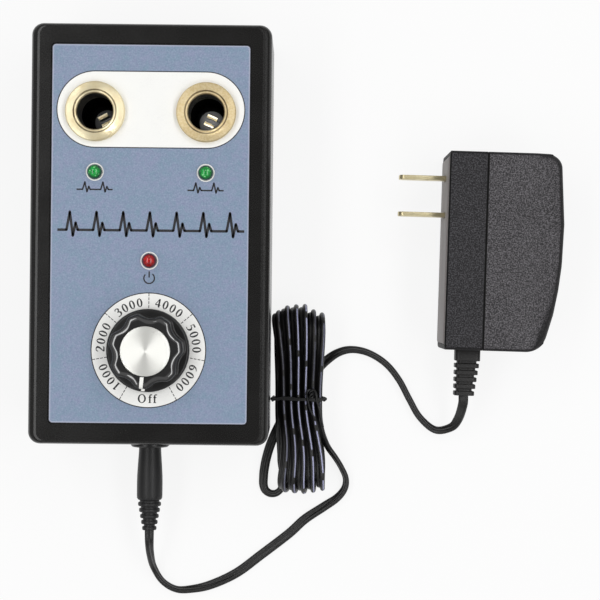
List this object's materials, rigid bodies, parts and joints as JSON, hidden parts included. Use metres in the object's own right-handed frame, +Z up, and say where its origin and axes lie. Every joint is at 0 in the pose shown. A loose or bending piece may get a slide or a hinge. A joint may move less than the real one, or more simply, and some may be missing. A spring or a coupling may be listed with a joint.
{
  "type": "spark plug tester",
  "caption": "Bench spark plug tester: flat case with brass plug sockets, lamps and a speed knob, fed by a wall adapter on a hanked flat lead.",
  "frame": {"origin": "centre of the case's underside, on the surface that it stands on", "axes": "+X towards the wall adapter, +Y towards the plug sockets, +Z up out of the front label"},
  "size_m": [0.1801, 0.1957, 0.0544],
  "materials": {
    "case_plastic": "satin black moulded plastic",
    "label_print": "blue-grey printed foil with fine grain",
    "socket_brass": "turned, pale brass",
    "blade_brass": "stamped, satin",
    "green_lens": "clear green lens",
    "red_lens": "clear red lens",
    "knob_plastic": "glossy black",
    "knob_metal": "spun",
    "pointer_white": "filled white line",
    "steel": "zinc plated",
    "insulator": "black phenolic",
    "board": "green circuit board",
    "copper": "bare tinned copper wire",
    "lead_red": "red high-voltage insulation",
    "lead_green": "green insulation",
    "capacitor_sleeve": "blue sleeve",
    "cord_rubber": "black flexible vinyl",
    "adapter_plastic": "charcoal, spark-eroded grain",
    "adapter_face_grey": "light grey moulded plate",
    "winding": "yellow taped winding"
  },
  "bodies": {
    "case": {"top_cover": "case_plastic", "bottom_cover": "case_plastic", "cover_screws": "steel", "front_label": "label_print", "socket_collar_left": "socket_brass", "socket_collar_right": "socket_brass", "earth_tag_left": "socket_brass", "earth_tag_right": "socket_brass", "collar_nut_left": "socket_brass", "collar_nut_right": "socket_brass", "insulator_cup_left": "insulator", "insulator_cup_right": "insulator", "terminal_clip_left": "socket_brass", "terminal_clip_right": "socket_brass", "signal_lamp_left": "green_lens", "signal_lamp_right": "green_lens", "power_lamp": "red_lens", "control_body": "steel", "control_bush": "socket_brass", "control_washer": "steel", "control_nut": "socket_brass", "control_switch": "insulator", "control_wires": "copper", "main_board": "board", "board_screws": "steel", "coil_case_left": "insulator", "coil_case_right": "insulator", "coil_core_left": "steel", "coil_core_right": "steel", "spark_lead_left": "lead_red", "spark_lead_right": "lead_red", "earth_link": "copper", "earth_lead": "lead_green", "filter_capacitor": "capacitor_sleeve", "timer_chip": "insulator", "switch_transistor": "insulator", "heat_sink": "steel", "jack_body": "insulator", "jack_nut": "steel", "jack_pin": "steel", "jack_wires": "copper"},
    "knob": {"knob_body": "knob_plastic", "knob_cap": "knob_metal", "knob_pointer": "pointer_white", "control_shaft": "steel"},
    "lead": {"plug_grip": "cord_rubber", "plug_barrel": "steel", "cord_plug_run": "cord_rubber", "cord_hank": "cord_rubber", "cord_tie": "cord_rubber", "cord_adapter_run": "cord_rubber", "adapter_face": "adapter_face_grey", "adapter_base": "adapter_plastic", "adapter_back": "adapter_plastic", "adapter_blades": "blade_brass", "adapter_relief": "cord_rubber", "adapter_board": "board", "adapter_transformer": "winding", "adapter_capacitor": "capacitor_sleeve"}
  },
  "joints": [
    {"name": "knob_turn", "type": "hinge", "parent": "case", "child": "knob", "pos_m": [0, -0.0385, 0.042], "axis": [0, 0, -1], "range_deg": [0, 300]},
    {"name": "plug_pull", "type": "slide", "parent": "case", "child": "lead", "axis": [0, -1, 0], "range_m": [0, 0.012]}
  ]
}
